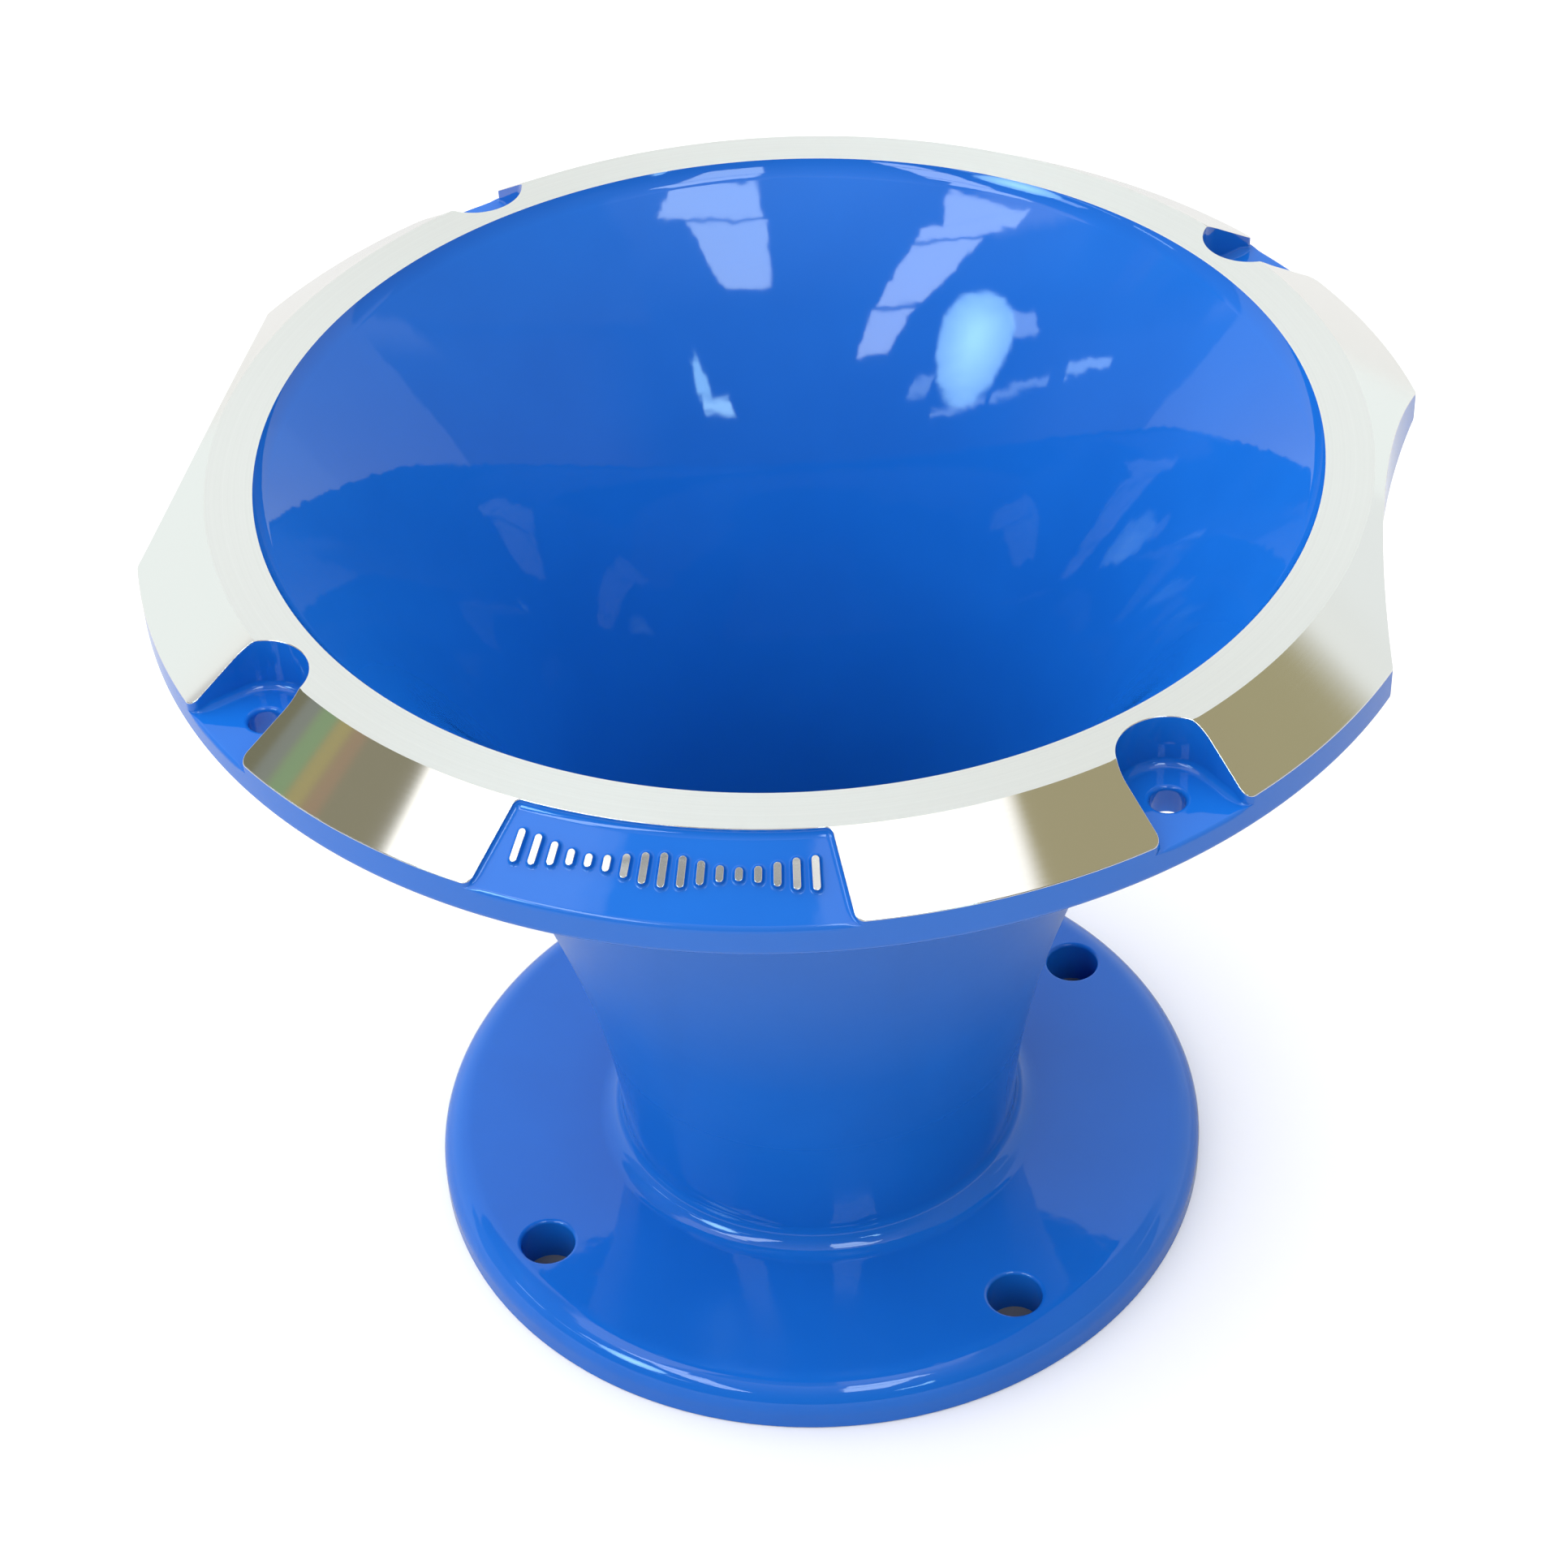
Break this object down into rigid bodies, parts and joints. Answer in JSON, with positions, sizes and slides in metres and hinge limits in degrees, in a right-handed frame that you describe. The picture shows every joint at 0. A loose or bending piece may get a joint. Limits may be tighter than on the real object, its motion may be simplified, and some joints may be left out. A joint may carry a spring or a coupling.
{
  "type": "horn flare",
  "caption": "Round cast horn flare for a bolt-on compression driver: a bell on a neck, with a driver flange below and a bright bezel with screw pockets round the mouth.",
  "frame": {"origin": "centre of the throat on the driver flange's flat underside", "axes": "+Z along the horn's axis from the driver flange to the mouth, -Y towards the nameplate"},
  "size_m": [0.166, 0.1768, 0.1355],
  "materials": {
    "blue_paint": "gloss royal blue paint on cast aluminium",
    "turned_aluminium": "bright turned face, satin on the land and mirror-bright on the cone",
    "turned_aluminium_bars": "bright turned tops, painted sides"
  },
  "bodies": {
    "root": {"horn_body": "blue_paint", "bezel_ring": "turned_aluminium", "nameplate_bars": "turned_aluminium_bars"}
  },
  "joints": []
}
